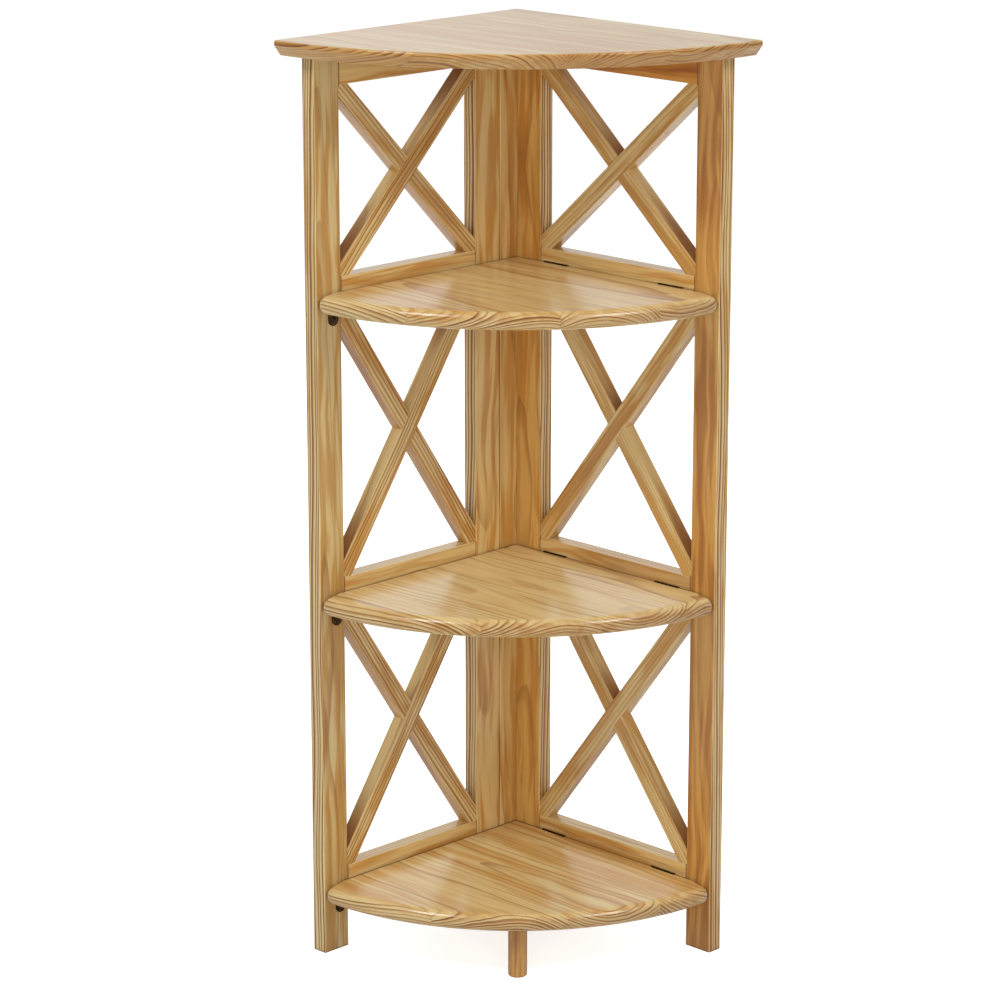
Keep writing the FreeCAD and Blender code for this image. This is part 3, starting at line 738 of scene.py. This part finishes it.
def finish_pine(node, grain, face, seed, cut, tone):
    """Lacquered pine for one CAD node, with the direction of its grain and its own part of the tree."""
    pine = bpy.context.scene.bookcase_pine
    material, net, shader = new_material(f"pine_{node}")
    sideways = face.cross(grain)
    low, high = extent_of(node, (grain, sideways, face))
    middle = (high + low) / 2
    rings = net.node("ShaderNodeGroup", node_tree=ring_group())
    net.put_all(rings.inputs, {
        "Centre": grain * middle.x + sideways * middle.y + face * middle.z,
        "Half Size": (high - low) / 2,
        "Grain": grain, "Face": face, "Seed": seed, "Wander": pine.wander, "Lean": TRUNK_LEAN, **cut,
    })
    wood = net.node("ShaderNodeGroup", node_tree=pine_group())
    net.put_all(wood.inputs, {socket.name: socket for socket in rings.outputs})
    colours = (pine.early, pine.honey, pine.late, pine.line)
    net.put_all(wood.inputs, {name: (*colour, 1.0) for name, colour in zip(WOOD_COLOURS, colours)})
    net.put_all(wood.inputs, tone)
    bump = net.node("ShaderNodeBump", {"Height": wood.outputs["Height"], **PINE_BUMP})
    net.put_all(shader.inputs, {
        "Base Color": wood.outputs["Colour"], "Roughness": wood.outputs["Roughness"],
        "Normal": bump.outputs[0], "Specular IOR Level": WOOD_SPECULAR,
        "Coat Weight": wood.outputs["Coat"], "Coat Roughness": pine.lacquer_roughness, "Coat IOR": COAT_IOR,
    })
    finish_node(node, material)


def bronze_material(name, plate, rubbed, wear):
    """Metal fitting with rubbed plating."""
    material, net, shader = new_material(name)
    plating = net.node("ShaderNodeGroup", node_tree=bronze_group())
    net.put_all(plating.inputs, {"Plate": (*plate, 1.0), "Rubbed": (*rubbed, 1.0), "Wear": wear})
    bump = net.node("ShaderNodeBump", {"Height": plating.outputs["Height"], **BRONZE_BUMP})
    net.put_all(shader.inputs, {
        "Base Color": plating.outputs["Colour"], "Roughness": plating.outputs["Roughness"],
        "Normal": bump.outputs[0], "Metallic": 1.0,
    })
    return material


def finish_node(node, material):
    """Give a CAD node its material."""
    slots = frame["nodes"][node].material_slots
    if not slots:
        raise RuntimeError(f"{node} has no material slot")
    for slot in slots:
        slot.material = material


def extent_of(node, axes):
    """Lowest and highest reach of a CAD node's mesh along three axes."""
    corners = [[vertex.co.dot(axis) for axis in axes] for vertex in frame["nodes"][node].data.vertices]
    reaches = list(zip(*corners))
    return Vector([min(reach) for reach in reaches]), Vector([max(reach) for reach in reaches])


def face_of(side):
    """Normal of a side frame's wide face."""
    return Y_AXIS if side == "right" else X_AXIS


def run_of(side):
    """Level direction along a side frame."""
    return X_AXIS if side == "right" else Y_AXIS


def stick_pine(node, grain, face, seed, tone, edge_contrast=1.0, corner_shades=NO_CORNER_SHADES):
    """Pine cut in one piece, for a stile, rail, brace, leg or dowel."""
    pine = bpy.context.scene.bookcase_pine
    cut = {
        "Stave": 1.0, "Offset": 0.5, "Spacing": pine.stick_rings, "Pith": pine.stick_pith,
        "Spread": STICK_SPREAD, "Face Contrast": STICK_FACE_CONTRAST, "Edge Contrast": edge_contrast,
        "Both Ends": 1.0, "Pool Places": corner_shades,
    }
    finish_pine(node, grain, face, seed, cut, {**PLAIN_TONE, **tone})


def board_pine(node, seed, offset, tone, face_contrast):
    """Pine glued from staves along the right frame, for a shelf or the top."""
    pine = bpy.context.scene.bookcase_pine
    cut = {
        "Stave": pine.shelf_stave, "Offset": offset, "Spacing": pine.shelf_rings, "Pith": pine.shelf_pith,
        "Spread": BOARD_SPREAD, "Face Contrast": face_contrast, "Edge Contrast": 1.0, "Both Ends": 0.0,
        "Pool Places": NO_CORNER_SHADES,
    }
    finish_pine(node, X_AXIS, Z_AXIS, seed, cut, {**BOARD_TONE, **tone})


class BOOKCASE_OT_side_frames(Operator):
    """Finish the stiles and rails of both side frames and the corner spacer"""

    bl_idname = "bookcase.side_frames"
    bl_label = "Side frames"

    def execute(self, context):
        sticks = [
            (f"{side}_{end}_stile", Z_AXIS, face_of(side)) for side in SIDES for end in ("front", "back")
        ]
        sticks += [
            (f"{side}_{level}_rail", run_of(side), face_of(side)) for side in SIDES for level in RAIL_LEVELS
        ]
        sticks.append(("corner_spacer", Z_AXIS, X_AXIS))
        for number, (node, grain, face) in enumerate(sticks):
            seed = FRAME_SEED + FRAME_SEED_STEP * number
            contrast = RAIL_EDGE_CONTRAST if node.endswith("rail") else STILE_EDGE_CONTRAST
            stick_pine(node, grain, face, seed, FRAME_TONES.get(node, {}), contrast)
        return {"FINISHED"}


class BOOKCASE_OT_braces(Operator):
    """Finish the crossed braces, each with its grain along the stick, painted light and shade on its upper
    side and painted shade in its corners
    """

    bl_idname = "bookcase.braces"
    bl_label = "Braces"

    def execute(self, context):
        seed = BRACE_SEED
        for side, (contrast, upper_shading, corner_shades) in BRACE_LOOKS.items():
            # Painted light and shade on the braces' upper sides.
            tone = {**BRACE_TONE, "Upper Depth": upper_shading}
            for level in SHELF_LEVELS:
                for way, rise in (("rising", 1.0), ("falling", -1.0)):
                    node = f"{side}_{level}_bay_{way}_brace"
                    low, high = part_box(node)
                    size = high - low
                    grain = run_of(side) * size.dot(run_of(side)) + Z_AXIS * size.z * rise
                    grain.normalize()
                    upper = face_of(side).cross(grain)
                    if upper.z < 0:
                        upper.negate()
                    stick_pine(node, grain, upper, seed, tone, contrast, corner_shades)
                    seed += BRACE_SEED_STEP
        return {"FINISHED"}


class BOOKCASE_OT_shelves(Operator):
    """Finish the quarter-round shelves, glued from staves along the right frame"""

    bl_idname = "bookcase.shelves"
    bl_label = "Shelves"

    def execute(self, context):
        for level, (seed, offset, tone) in SHELF_LOOKS.items():
            board_pine(f"{level}_shelf_board", seed, offset, tone, SHELF_FACE_CONTRAST)
        return {"FINISHED"}


class BOOKCASE_OT_top(Operator):
    """Finish the top board, glued from staves along the right frame"""

    bl_idname = "bookcase.top"
    bl_label = "Top board"

    def execute(self, context):
        board_pine("top_board", TOP_SEED, TOP_OFFSET, TOP_TONE, TOP_FACE_CONTRAST)
        return {"FINISHED"}


class BOOKCASE_OT_front_leg(Operator):
    """Finish the round front leg"""

    bl_idname = "bookcase.front_leg"
    bl_label = "Front leg"

    def execute(self, context):
        stick_pine("front_leg", Z_AXIS, FRONT, LEG_SEED, LEG_TONE)
        return {"FINISHED"}


class BOOKCASE_OT_fittings(Operator):
    """Finish the hinges, the shelf rests and their pins and screws"""

    bl_idname = "bookcase.fittings"
    bl_label = "Hinges and rests"

    def execute(self, context):
        fittings = context.scene.bookcase_fittings
        leaves = bronze_material("dark_bronze", fittings.bronze, fittings.rubbed, LEAF_WEAR)
        heads = bronze_material("bronze_screws", fittings.bronze, fittings.rubbed, HEAD_WEAR)
        rests = bronze_material("bronze_rests", fittings.bronze, fittings.rubbed, REST_WEAR)
        pins = bronze_material("drawn_steel", fittings.steel, fittings.zinc, PIN_WEAR)
        for node in frame["nodes"]:
            if node.endswith("leaves"):
                finish_node(node, leaves)
            elif node == "shelf_rests":
                finish_node(node, rests)
            elif node.endswith("pins"):
                finish_node(node, pins)
            elif node.endswith("screws") and node != "spacer_screws":
                finish_node(node, heads)
        return {"FINISHED"}


class BOOKCASE_OT_joinery(Operator):
    """Finish the glued dowels, the spacer's screws and the leg's double-ended screw"""

    bl_idname = "bookcase.joinery"
    bl_label = "Dowels and wood screws"

    def execute(self, context):
        fittings = context.scene.bookcase_fittings
        plated = bronze_material("zinc_screws", fittings.zinc, fittings.steel, WOOD_SCREW_WEAR)
        for node in ("spacer_screws", "front_leg_screw"):
            finish_node(node, plated)
        for seed, side in zip(DOWEL_SEEDS, SIDES):
            stick_pine(f"{side}_frame_dowels", run_of(side), face_of(side), seed, {})
        return {"FINISHED"}


def seen_as_white(net, mirrored):
    """1 where the camera or a transmitted ray looks, and the given level where a glossy ray does."""
    path = net.node("ShaderNodeLightPath").outputs
    in_gloss = net.times(path["Is Glossy Ray"], mirrored)
    return net.most(path["Is Camera Ray"], in_gloss, path["Is Transmission Ray"])


def floor_material(colour):
    """Pale floor that the camera sees as white, except where the bookcase shades it."""
    material, net, shader = new_material("pale_floor")
    behind = net.spread(net.dot(net.place(), FRONT), *FLOOR_MIRRORED)
    net.put_all(shader.inputs, {
        "Base Color": net.shade((*colour, 1.0), net.spread(net.cloud(FLOOR_PATCHES), *FLOOR_SHADES)),
        "Roughness": FLOOR_ROUGHNESS,
        "Specular IOR Level": 0.0,
        "Emission Color": WHITE,
        "Emission Strength": net.times(seen_as_white(net, behind), FLOOR_GLOW),
    })
    return material


def room_light(strength):
    """Even light all round, white where the camera sees it and where the wood mirrors what lies behind."""
    world = bpy.data.worlds.new("studio")
    world.use_nodes = True
    world.node_tree.nodes.clear()
    net = Net(world.node_tree)
    direction = net.place("Generated")
    behind = net.fade(net.dot(direction, FRONT), *BACKDROP)
    backdrop = net.times(behind, net.spread(net.dot(direction, RIGHT), *BACKDROP_SIDES))
    level = net.plus(strength, net.times(seen_as_white(net, backdrop), 1.0 - strength))
    light = net.node("ShaderNodeBackground", {"Color": WHITE, "Strength": level})
    net.node("ShaderNodeOutputWorld", {"Surface": light.outputs[0]})
    bpy.context.scene.world = world


def add_lamp(name, place, size, power, mirrored):
    """Soft lamp that points at the bookcase."""
    lamp = bpy.data.lights.new(name, "AREA")
    lamp.shape = "RECTANGLE"
    lamp.size, lamp.size_y = size
    lamp.energy = power
    made = bpy.data.objects.new(name, lamp)
    made.location = place
    made.rotation_euler = (LAMP_TARGET - place).to_track_quat("-Z", "Y").to_euler()
    made.visible_glossy = mirrored
    bpy.context.scene.collection.objects.link(made)


def add_floor(colour):
    """Wide pale floor under the bookcase."""
    corners = [(-1, -1), (1, -1), (1, 1), (-1, 1)]
    mesh = bpy.data.meshes.new("floor")
    mesh.from_pydata([(x * FLOOR_REACH, y * FLOOR_REACH, 0) for x, y in corners], [], [(0, 1, 2, 3)])
    floor = bpy.data.objects.new("floor", mesh)
    bpy.context.scene.collection.objects.link(floor)
    floor.data.materials.append(floor_material(colour))


def add_camera(stage):
    """Camera at the photograph's place, aimed past the frames' inner corner."""
    corner = Vector((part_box("corner_spacer")[1].x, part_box("right_front_stile")[0].y, 0.0))
    bearing = stage.camera_bearing
    data = bpy.data.cameras.new("camera")
    data.lens = stage.camera_lens
    data.sensor_width = SENSOR_WIDTH
    camera = bpy.data.objects.new("camera", data)
    out = Vector((math.sin(bearing), -math.cos(bearing), 0.0))
    camera.location = corner + out * stage.camera_distance + Z_AXIS * stage.camera_height
    camera.rotation_euler = (math.pi / 2 - stage.camera_dip, 0.0, bearing + stage.camera_aim)
    bpy.context.scene.collection.objects.link(camera)
    bpy.context.scene.camera = camera


class BOOKCASE_OT_stage(Operator):
    """Set up the floor, lamps, room light and camera"""

    bl_idname = "bookcase.stage"
    bl_label = "Stage"

    def execute(self, context):
        stage = context.scene.bookcase_stage
        add_floor(stage.floor)
        for name, (place, size, mirrored) in LAMPS.items():
            add_lamp(f"{name}_lamp", place, size, getattr(stage, f"{name}_power"), mirrored)
        room_light(stage.sky)
        add_camera(stage)
        context.scene.view_settings.view_transform = "Standard"
        return {"FINISHED"}


class BOOKCASE_PT_panel(Panel):
    """Bookcase tools in the 3D view's sidebar"""

    bl_idname = "BOOKCASE_PT_panel"
    bl_label = "Folding corner bookcase"
    bl_space_type = "VIEW_3D"
    bl_region_type = "UI"
    bl_category = "Bookcase"

    def draw(self, context):
        for settings in SETTINGS:
            group = getattr(context.scene, settings)
            column = self.layout.column()
            for name in type(group).__annotations__:
                column.prop(group, name)
        for operator in OPERATORS:
            self.layout.operator(operator.bl_idname)


SETTINGS = {
    "bookcase_pine": BookcasePine,
    "bookcase_fittings": BookcaseFittings,
    "bookcase_stage": BookcaseStage,
}
OPERATORS = (
    BOOKCASE_OT_stage,
    BOOKCASE_OT_side_frames,
    BOOKCASE_OT_braces,
    BOOKCASE_OT_shelves,
    BOOKCASE_OT_top,
    BOOKCASE_OT_front_leg,
    BOOKCASE_OT_fittings,
    BOOKCASE_OT_joinery,
)


def register():
    for settings in SETTINGS.values():
        bpy.utils.register_class(settings)
    for name, settings in SETTINGS.items():
        setattr(bpy.types.Scene, name, PointerProperty(type=settings))
    for operator in OPERATORS:
        bpy.utils.register_class(operator)
    bpy.utils.register_class(BOOKCASE_PT_panel)


def unregister():
    bpy.utils.unregister_class(BOOKCASE_PT_panel)
    for operator in reversed(OPERATORS):
        bpy.utils.unregister_class(operator)
    for name, settings in SETTINGS.items():
        delattr(bpy.types.Scene, name)
        bpy.utils.unregister_class(settings)


def clear_startup():
    """Remove whatever Blender opened with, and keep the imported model."""
    kept = {*frame["nodes"].values(), *frame["bodies"].values()}
    for thing in list(bpy.data.objects):
        if thing not in kept:
            bpy.data.objects.remove(thing)


def main():
    clear_startup()
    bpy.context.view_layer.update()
    register()
    bpy.ops.bookcase.stage()
    bpy.ops.bookcase.side_frames()
    bpy.ops.bookcase.braces()
    bpy.ops.bookcase.shelves()
    bpy.ops.bookcase.top()
    bpy.ops.bookcase.front_leg()
    bpy.ops.bookcase.fittings()
    bpy.ops.bookcase.joinery()


if __name__ == "__main__":
    main()
